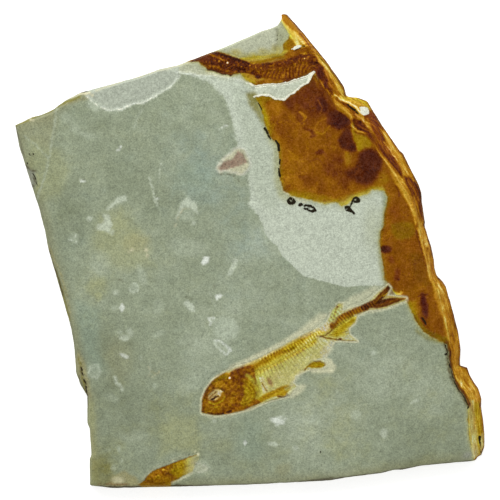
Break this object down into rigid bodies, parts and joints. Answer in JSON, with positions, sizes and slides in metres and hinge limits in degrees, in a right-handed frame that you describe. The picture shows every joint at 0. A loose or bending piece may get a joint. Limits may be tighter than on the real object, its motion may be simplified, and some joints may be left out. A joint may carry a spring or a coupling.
{
  "type": "fossil fish slab",
  "caption": "Flat slab of grey-green lake shale with small fossil fish in low relief, iron-stained along its broken right edge.",
  "frame": {"origin": "under the middle of the slab's outline, on the plane it rests on", "axes": "+Z out of the fossil face, +Y towards the pointed upper end, +X towards the iron-stained broken edge"},
  "size_m": [0.1598, 0.1614, 0.0101],
  "materials": {
    "shale": "matt",
    "fossil_bone": "matt"
  },
  "bodies": {
    "root": {"shale_slab": "shale", "main_fish": "fossil_bone", "upper_fish": "fossil_bone", "lower_fish": "fossil_bone"}
  },
  "joints": []
}
